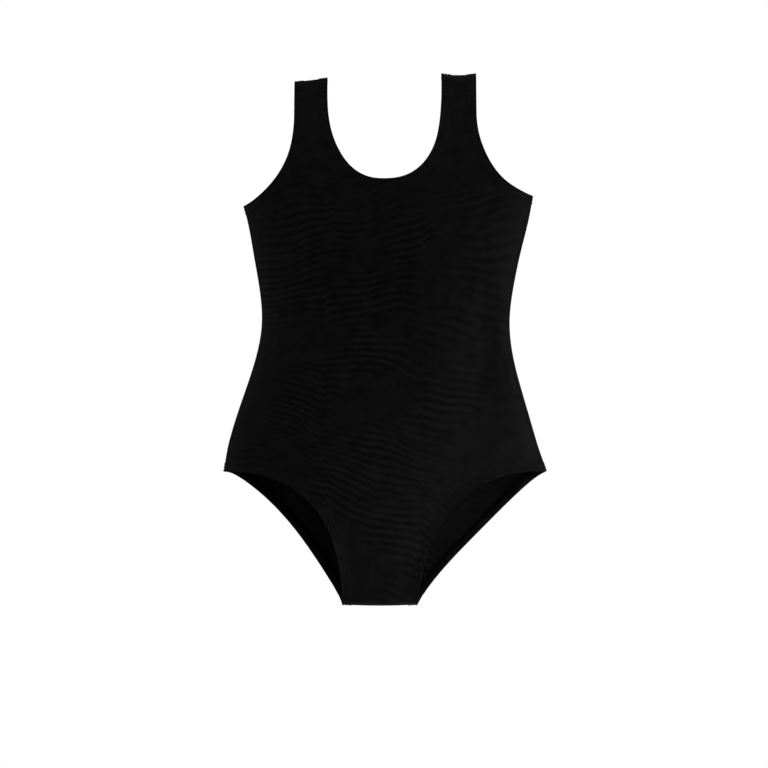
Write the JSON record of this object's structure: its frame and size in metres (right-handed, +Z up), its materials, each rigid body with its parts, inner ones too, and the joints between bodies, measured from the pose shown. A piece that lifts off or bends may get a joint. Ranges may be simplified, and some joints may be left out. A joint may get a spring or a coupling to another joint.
{
  "type": "gymnastics leotard",
  "caption": "Child's sleeveless tank leotard with scooped neck, broad shoulder straps, high-cut leg openings, turned elastic hems and a crotch lining.",
  "frame": {"origin": "where a hanger carries it: midway between the shoulder straps, inside their folds", "axes": "+Z up, from the crotch to the straps; the front faces -Y; +X is to the right of someone looking at the front"},
  "size_m": [0.336, 0.0576, 0.5568],
  "materials": {
    "jersey": "matt black cotton and elastane jersey",
    "elastic": "flat black braided elastic",
    "thread": "black polyester thread with a slight sheen",
    "label": "satin woven label, left blank"
  },
  "bodies": {
    "root": {"front_panel": "jersey", "back_panel": "jersey", "crotch_lining": "jersey", "neckline_elastic": "elastic", "left_armhole_elastic": "elastic", "right_armhole_elastic": "elastic", "left_leg_elastic": "elastic", "right_leg_elastic": "elastic", "neckline_cover_stitch": "thread", "left_armhole_cover_stitch": "thread", "right_armhole_cover_stitch": "thread", "left_leg_cover_stitch": "thread", "right_leg_cover_stitch": "thread", "left_side_overlock": "thread", "right_side_overlock": "thread", "left_shoulder_overlock": "thread", "right_shoulder_overlock": "thread", "crotch_overlock": "thread", "crotch_lining_stitch": "thread", "care_label": "label"}
  },
  "joints": []
}
